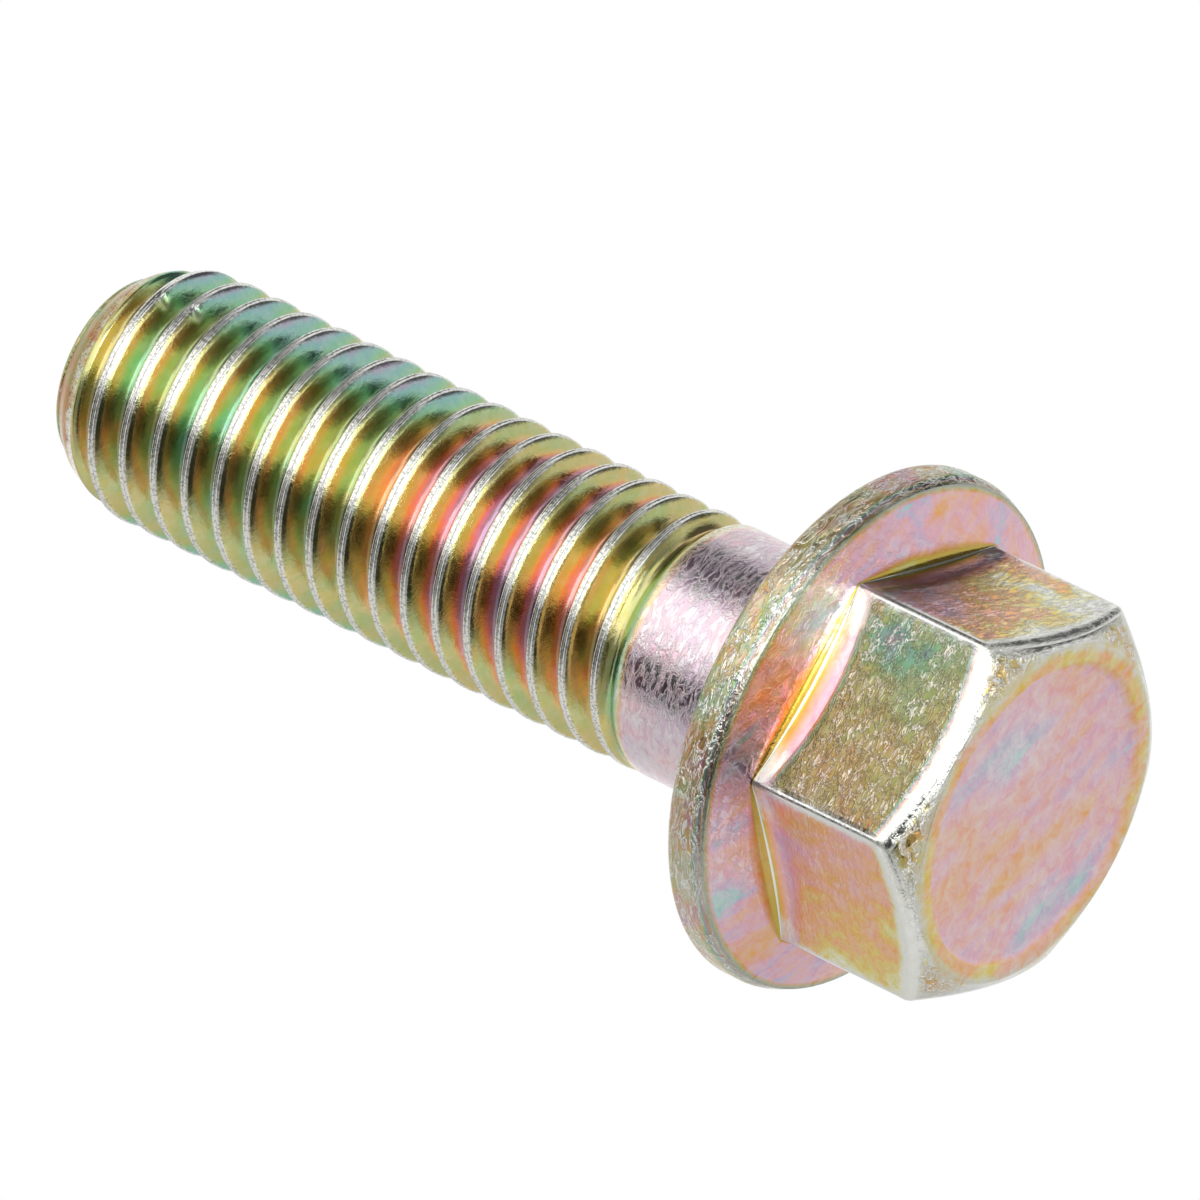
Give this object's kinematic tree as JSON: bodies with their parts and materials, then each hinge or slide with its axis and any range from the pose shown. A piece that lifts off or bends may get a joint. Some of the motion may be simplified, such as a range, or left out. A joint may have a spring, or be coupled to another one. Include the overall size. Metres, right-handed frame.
{
  "type": "hexagon flange bolt",
  "caption": "Hexagon head bolt with a plain round flange under the head and a right-handed metric thread, for clamping parts together without a washer.",
  "frame": {"origin": "centre of the flange's bearing face, on the shank axis", "axes": "+Z along the shank towards the point, so the head lies below the origin; +X towards a corner of the hexagon"},
  "size_m": [0.02, 0.02, 0.0434],
  "materials": {
    "zinc_plated_steel": "yellow iridescent chromate over zinc, slightly orange-peeled"
  },
  "bodies": {
    "root": {"flange_bolt": "zinc_plated_steel"}
  },
  "joints": []
}
